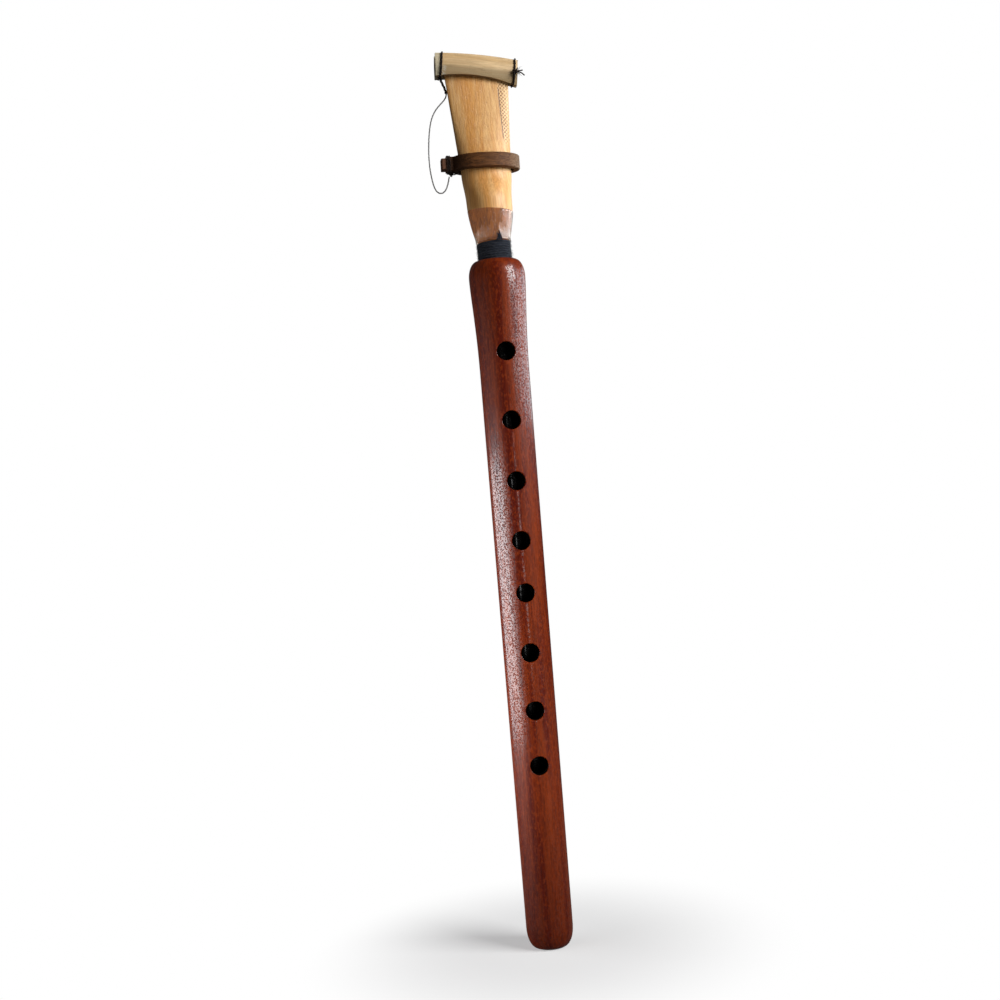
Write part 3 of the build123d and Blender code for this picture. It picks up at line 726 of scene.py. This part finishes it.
# The binding's tied end
# Above the binding its thread ends in a small flat hitch against the cane, with two
# short tails that lie up the reed under the film.
TAIL_OUT = 9.05 * MM
TAILS = (
    ((0.9, 8.9, 0.35), (1.3, 10.0, 0.0), (1.8, 11.2, 0.22), (2.3, 12.3, 0.45), (2.2, 13.6, 0.75)),
    ((3.4, 8.9, 0.30), (3.1, 10.0, 0.0), (2.5, 11.0, 0.45), (1.7, 11.7, 0.35), (0.9, 12.2, 0.70)),
    ((0.6, 9.8, 0.1), (1.8, 9.5, 0.5), (3.6, 9.9, 0.1), (2.6, 10.8, 0.3), (1.1, 10.5, 0.2)),
    ((2.1, 8.9, 0.1), (2.3, 10.0, 0.5), (2.0, 11.0, 0.3), (2.8, 11.7, 0.2), (3.3, 12.0, 0.5)),
)


def on_cane(aside, level, proud):
    """A point on the front of the reed's round neck."""
    radius = TAIL_OUT + proud * MM
    return reed_frame @ Vector((aside * MM, -math.sqrt(radius ** 2 - (aside * MM) ** 2), level * MM))


lines = [[on_cane(aside, level, proud + 0.35) for aside, level, proud in tail] for tail in TAILS]
binding_tails = laid_thread("reed_binding_tails", lines, 0.75 * MM, binding_thread)
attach(binding_tails, "reed")

# The film
# A clear glossy film shrunk round the reed's neck, from the binding up; it keeps the
# cane from splitting, bulges over the binding's tails and is cut off square on top.
FILM_PROFILE = (
    (9.62, 8.75), (10.4, 8.72), (11.3, 8.80), (13.0, 9.16), (15.0, 9.60), (17.0, 10.04), (19.0, 10.44), (21.0, 10.80),
    (23.0, 11.11), (24.4, 11.28), (25.0, 11.34),
)
FILM_THICKNESS = 0.2 * MM
film, tree, shader = new_surface("clear film", Roughness=0.07, IOR=1.42, Transmission_Weight=1.0)
place = local_place(tree, reed_frame)
drawn = node(tree, "Mapping", Vector=place, Scale=(1, 1, 0.12))
smears = node(tree, "TexNoise", Vector=drawn.outputs[0], Scale=1.0, Detail=3.0, Distortion=0.5)
tree.links.new(mixed(tree, smears.outputs[0], (0.98, 0.90, 0.80, 1), (0.93, 0.80, 0.66, 1)),
               shader.inputs["Base Color"])
bump = node(tree, "Bump", Strength=0.6, Distance=0.0006, Height=smears.outputs[0])
tree.links.new(bump.outputs[0], shader.inputs["Normal"])
shape = bmesh.new()
ring = [shape.verts.new((radius * MM, 0, level * MM)) for level, radius in FILM_PROFILE]
edges = [shape.edges.new(pair) for pair in zip(ring, ring[1:])]
bmesh.ops.subdivide_edges(shape, edges=edges, cuts=2)
bmesh.ops.spin(shape, geom=shape.verts[:] + shape.edges[:], cent=(0, 0, 0), axis=(0, 0, 1), angle=2 * math.pi,
               steps=96, use_merge=True)
bmesh.ops.remove_doubles(shape, verts=shape.verts, dist=1e-6)
for vertex in shape.verts:
    place = vertex.co.copy()
    around = Vector((place.x, place.y, 0)).normalized()
    loose = 0.06 * MM * (1 + noise.noise(Vector((place.x, place.y, 0.3 * place.z)) / (2.5 * MM)))
    aside = (place.x / MM - 2.1) / 1.9
    level = (place.z / MM - 11.5) / 3.6
    bulge = 0.95 * MM * math.exp(-aside ** 2 - level ** 2) if place.y < 0 else 0.0
    vertex.co += around * (loose + bulge)
    upper_share = max(0.0, place.z / MM - 15.0) / 10.0
    vertex.co.z -= FILM_SLANT * place.x * upper_share
bmesh.ops.recalc_face_normals(shape, faces=shape.faces)
bmesh.ops.transform(shape, verts=shape.verts, matrix=reed_frame)
film_piece = bpy.data.objects.new("clear_film_sleeve", bpy.data.meshes.new("clear_film_sleeve"))
scene.collection.objects.link(film_piece)
shape.to_mesh(film_piece.data)
shape.free()
thicken = film_piece.modifiers.new("film thickness", "SOLIDIFY")
thicken.thickness = FILM_THICKNESS
thicken.offset = 1
film_piece.data.materials.append(film)
smoothed(film_piece)
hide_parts("clear_sleeve")
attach(film_piece, "reed")

# The tuning ring
# A strip of dark split cane bent round the flat of the reed, slid up or down to tune it.
# Its left bend is painted darker as shade, and the worn right end is greyer and rough.
ring_frame = reed_frame @ Matrix.Translation((0, 0, 0.0498)) @ Matrix.Rotation(math.radians(2.4), 4, "Y")
RING_BROWN = (0.190, 0.075, 0.024)
RING_DARK = (0.024, 0.0095, 0.0045)
RING_WORN = (0.23, 0.15, 0.088)
ring_surface, tree, shader = new_surface("dark split cane", Roughness=0.5, Specular_IOR_Level=0.15)
place = local_place(tree, ring_frame)
parts = node(tree, "SeparateXYZ", Vector=place)
turned = node(tree, "CombineXYZ", X=parts.outputs[2], Y=parts.outputs[1], Z=parts.outputs[0]).outputs[0]
grain = node(tree, "Group", {"node_tree": straight_grain}, Vector=turned, Stretch=30.0)
colour = mixed(tree, maths(tree, "MULTIPLY", grain.outputs["Streaks"], 0.75), (*RING_BROWN, 1), (*RING_DARK, 1))
# Painted shade: the strip darkens towards its left bend, away from the light.
painted_left_shade = maths(tree, "MULTIPLY", step(tree, parts.outputs[0], -4.0, -17.0), 0.75)
colour = mixed(tree, painted_left_shade, colour, (*RING_DARK, 1))
scraped = maths(tree, "MULTIPLY", step(tree, parts.outputs[0], 9.0, 17.5), step(tree, grain.outputs["Streaks"], 1.0, 0.2))
colour = mixed(tree, scraped, colour, (*RING_WORN, 1))
tab = maths(tree, "MULTIPLY", step(tree, parts.outputs[0], -19.0, -20.0), 0.8)
colour = mixed(tree, tab, colour, (0.165, 0.075, 0.042, 1))
tree.links.new(colour, shader.inputs["Base Color"])
bump = node(tree, "Bump", Strength=0.6, Distance=0.0003, Height=grain.outputs["Height"])
tree.links.new(bump.outputs[0], shader.inputs["Normal"])
dress("tuning_ring", ring_surface)

# The ring's lashing
# Three turns of dark thread round the ring's two ends, drawn tight, with the knot and
# its frayed ends underneath.
LASHING_DIAMETER = 0.62 * MM
LASHING_PITCH = 0.70 * MM
LASHING_TURNS = 3
LASHING_HALF_HEIGHT = 3.98 * MM
LASHING_HALF_DEPTH = 3.60 * MM
LASHING_START = -17.85 * MM
SOFT_CORNERS = ((1, 0), (1, 0.72), (0.93, 0.97), (0.72, 1), (0, 1), (-0.72, 1), (-0.93, 0.97), (-1, 0.72), (-1, 0),
                (-1, -0.72), (-0.93, -0.97), (-0.72, -1), (0, -1), (0.72, -1), (0.93, -0.97), (1, -0.72))


turns = []
for i in range(LASHING_TURNS * len(SOFT_CORNERS) + 1):
    across, deep = SOFT_CORNERS[i % len(SOFT_CORNERS)]
    along = LASHING_START - LASHING_PITCH * i / len(SOFT_CORNERS)
    turns.append(ring_frame @ Vector((along, deep * LASHING_HALF_DEPTH, across * LASHING_HALF_HEIGHT)))
knot_place = Vector((-17.9 * MM, -0.7 * MM, -4.95 * MM))
ends = (
    ((0, 0, 0), (1.6, -1.4, 0.5), (3.2, -2.5, 0.3), (4.4, -3.3, 0.8)),
    ((0, 0, 0), (1.2, -1.0, -0.6), (2.6, -1.9, -0.2), (3.7, -2.5, -0.5)),
)
tails = [[ring_frame @ (knot_place + Vector(p) * MM) for p in end] for end in ends]
ring_lashing = laid_thread("ring_lashing_thread", [turns, knot_points(knot_place, 1.1 * MM, ring_frame)] + tails,
                           LASHING_DIAMETER, dark_thread)
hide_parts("ring_lashing")
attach(ring_lashing, "ring")

# The reed cap's slats
# Two slats split from pale cane and bowed round the reed's mouth, to hold it shut while
# it is stored; round outside, with their lower edges cut up in an arch.
cap_frame = reed_frame @ Matrix.Translation((0, 0, 0.0978)) @ Matrix.Rotation(math.radians(8.8), 4, "Y")
SLAT_TAN = (0.66, 0.43, 0.20)
SLAT_LIGHT = (0.78, 0.56, 0.31)
SLAT_STREAK = (0.40, 0.25, 0.115)
SLAT_LOWER_SHADE = (0.30, 0.225, 0.120)
SLAT_END = (0.60, 0.54, 0.38)
SLAT_PAINTED_HIGHLIGHT = (0.60, 0.56, 0.48)
SLAT_UNDERSIDE_SHADE = (0.30, 0.21, 0.10)
slat_surface, tree, shader = new_surface("pale split cane", Roughness=0.5, Specular_IOR_Level=0.35)
place = local_place(tree, cap_frame)
parts = node(tree, "SeparateXYZ", Vector=place)
turned = node(tree, "CombineXYZ", X=parts.outputs[2], Y=parts.outputs[1], Z=parts.outputs[0]).outputs[0]
grain = node(tree, "Group", {"node_tree": straight_grain}, Vector=turned, Stretch=30.0)
colour = mixed(tree, grain.outputs["Bands"], (*SLAT_TAN, 1), (*SLAT_LIGHT, 1))
# Painted shade: the lower half of each slat's round face, turned down from the light, is darkened.
colour = mixed(tree, maths(tree, "MULTIPLY", step(tree, parts.outputs[2], 1.2, -1.2), 0.75), colour, (*SLAT_LOWER_SHADE, 1))
colour = mixed(tree, maths(tree, "MULTIPLY", grain.outputs["Streaks"], 0.5), colour, (*SLAT_STREAK, 1))
colour = mixed(tree, maths(tree, "MULTIPLY", grain.outputs["Pores"], 0.4), colour, (*SLAT_STREAK, 1))
colour = mixed(tree, maths(tree, "MULTIPLY", step(tree, parts.outputs[0], -17.6, -18.6), 0.8), colour, (*SLAT_END, 1))
# Painted highlight: a broken pale patch on the slats' front, just right of the left tie.
painted_highlight_patch = maths(tree, "MULTIPLY", step(tree, parts.outputs[0], -17.4, -17.0), step(tree, parts.outputs[0], -14.8, -15.8))
painted_highlight_patch = maths(tree, "MULTIPLY", painted_highlight_patch, step(tree, parts.outputs[2], 0.0, -1.5))
painted_highlight_patch = maths(tree, "MULTIPLY", painted_highlight_patch, step(tree, node(tree, "TexNoise", Vector=place, Scale=1.4).outputs[0], 0.4, 0.6))
colour = mixed(tree, maths(tree, "MULTIPLY", painted_highlight_patch, 0.6), colour, (*SLAT_PAINTED_HIGHLIGHT, 1))
# Painted shade: faces turned downwards, such as the slats' cut lower edges, are darkened.
facing = node(tree, "SeparateXYZ", Vector=node(tree, "TexCoord").outputs["Normal"]).outputs[2]
colour = mixed(tree, maths(tree, "MULTIPLY", step(tree, facing, -0.6, -0.85), 0.85), colour, (*SLAT_UNDERSIDE_SHADE, 1))
tree.links.new(colour, shader.inputs["Base Color"])
bump = node(tree, "Bump", Strength=0.5, Distance=0.0003, Height=grain.outputs["Height"])
tree.links.new(bump.outputs[0], shader.inputs["Normal"])
for name in ("cap_front_slat", "cap_rear_slat"):
    dress(name, slat_surface)

# The cap's ties
# Each end of the two slats is bound by one dark thread, doubled at the back. The right
# one is knotted in front, and its cut ends have frayed; the left one holds the tether.
TIE_DIAMETER = 1.05 * MM
SLAT_ROUND = 12.0
SLAT_THICK = 3.2


def tie_points(along, gap, top, bottom, pitch=1.05, turns=1.2):
    """A thread's way round both slats at one place: over their round faces and straight across the edges."""
    seat = 0.47
    face = [bottom + (top - bottom) * i / 4 for i in range(5)]

    def outside(level):
        return gap + SLAT_THICK - SLAT_ROUND + math.sqrt((SLAT_ROUND + seat) ** 2 - level ** 2)

    loop = [(-outside(level), level) for level in face]
    loop += [(-gap - 1.0, top + seat), (gap + 1.0, top + seat)]
    loop += [(outside(level), level) for level in reversed(face)]
    loop += [(gap + 1.0, bottom + 0.25 * seat), (-gap - 1.0, bottom + 0.25 * seat)]
    count = int(round(turns * len(loop)))
    first = 7
    points = []
    for i in range(count + 1):
        deep, level = loop[(first + i) % len(loop)]
        behind = min(max(i - 6, 0), 1) - 1 if i < 7 else min(max(i - 11, 0), 4) / 4
        shift = pitch / 2 * behind
        points.append(cap_frame @ Vector(((along + shift) * MM, deep * MM, level * MM)))
    return points


left_tie = laid_thread("cap_lashing_left_thread", [tie_points(-17.9, 2.13, 6.25, -5.22)], TIE_DIAMETER, dark_thread)
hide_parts("cap_lashing_left")
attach(left_tie, "cap")

knot_place = Vector((19.6 * MM, -5.05 * MM, -0.6 * MM))
ends = (
    ((0, 0, 0), (0.5, -0.5, 0.7), (0.9, -0.4, 1.3), (1.3, -0.3, 2.0)),
    ((0, 0, 0), (1.4, -0.5, 0.6), (2.6, -0.5, 0.7), (3.9, -0.4, 1.1)),
    ((0, 0, 0), (1.8, -0.6, 0.1), (3.6, -0.5, -0.4), (5.0, -0.4, -1.5)),
)
tails = [[cap_frame @ (knot_place + Vector(p) * MM) for p in end] for end in ends]
right_tie = laid_thread("cap_lashing_right_thread", [tie_points(19.6, 0.56, 6.68, -6.13)], TIE_DIAMETER, dark_thread)
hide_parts("cap_lashing_right")
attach(right_tie, "cap")
right_knot = laid_thread("cap_lashing_right_knot", [knot_points(knot_place, 1.35 * MM, cap_frame)] + tails, 0.7 * MM,
                         dark_thread)
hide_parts("cap_lashing_right")
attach(right_knot, "cap")
chance = random.Random(11)
roots = []
for i in range(26):
    aim = Vector((chance.uniform(0.3, 1.0), chance.uniform(-0.7, 0.1), chance.uniform(-0.6, 0.7)))
    roots.append((cap_frame @ (knot_place + aim * 0.6 * MM), cap_frame.to_3x3() @ aim))
knot_fray = fuzz("cap_lashing_right_fray", roots, 4.2 * MM, 0.09 * MM, dark_thread, 12)
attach(knot_fray, "cap")

scene.view_settings.view_transform = "Standard"
